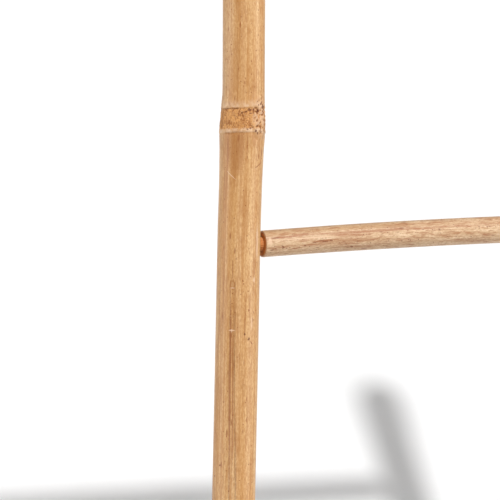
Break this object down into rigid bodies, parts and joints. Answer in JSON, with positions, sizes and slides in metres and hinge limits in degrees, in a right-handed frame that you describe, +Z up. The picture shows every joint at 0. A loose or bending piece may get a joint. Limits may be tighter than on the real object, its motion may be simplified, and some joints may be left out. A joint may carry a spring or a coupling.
{
  "type": "bamboo ladder rack",
  "caption": "Free-standing or leaning ladder rack of natural bamboo: two culm poles joined by thinner bamboo rungs on glued, nailed dowels, for draping quilts or towels.",
  "frame": {"origin": "on the floor under the middle of the whole rack: the centre of the bottom of its bounding box", "axes": "+Z up the poles, +X along the rungs towards the right pole, +Y towards the back, where the nail heads are; the rack is stored standing upright, and is leant back onto a wall in use"},
  "size_m": [0.5206, 0.0468, 1.57],
  "materials": {
    "bamboo_pole": "natural tan culm skin, thinly lacquered, semi-gloss, with rough brown node bands",
    "bamboo_rung": "paler natural culm skin, thinly lacquered, semi-gloss, with raw sawn ends",
    "hardwood_dowel": "turned orange-brown hardwood, fluted, unfinished, matt",
    "steel_nail": "bright drawn steel wire, slightly dulled"
  },
  "bodies": {
    "root": {"left_pole": "bamboo_pole", "right_pole": "bamboo_pole", "rung_1": "bamboo_rung", "rung_1_dowel_left": "hardwood_dowel", "rung_1_nail_left": "steel_nail", "rung_1_dowel_right": "hardwood_dowel", "rung_1_nail_right": "steel_nail", "rung_2": "bamboo_rung", "rung_2_dowel_left": "hardwood_dowel", "rung_2_nail_left": "steel_nail", "rung_2_dowel_right": "hardwood_dowel", "rung_2_nail_right": "steel_nail", "rung_3": "bamboo_rung", "rung_3_dowel_left": "hardwood_dowel", "rung_3_nail_left": "steel_nail", "rung_3_dowel_right": "hardwood_dowel", "rung_3_nail_right": "steel_nail", "rung_4": "bamboo_rung", "rung_4_dowel_left": "hardwood_dowel", "rung_4_nail_left": "steel_nail", "rung_4_dowel_right": "hardwood_dowel", "rung_4_nail_right": "steel_nail"}
  },
  "joints": []
}
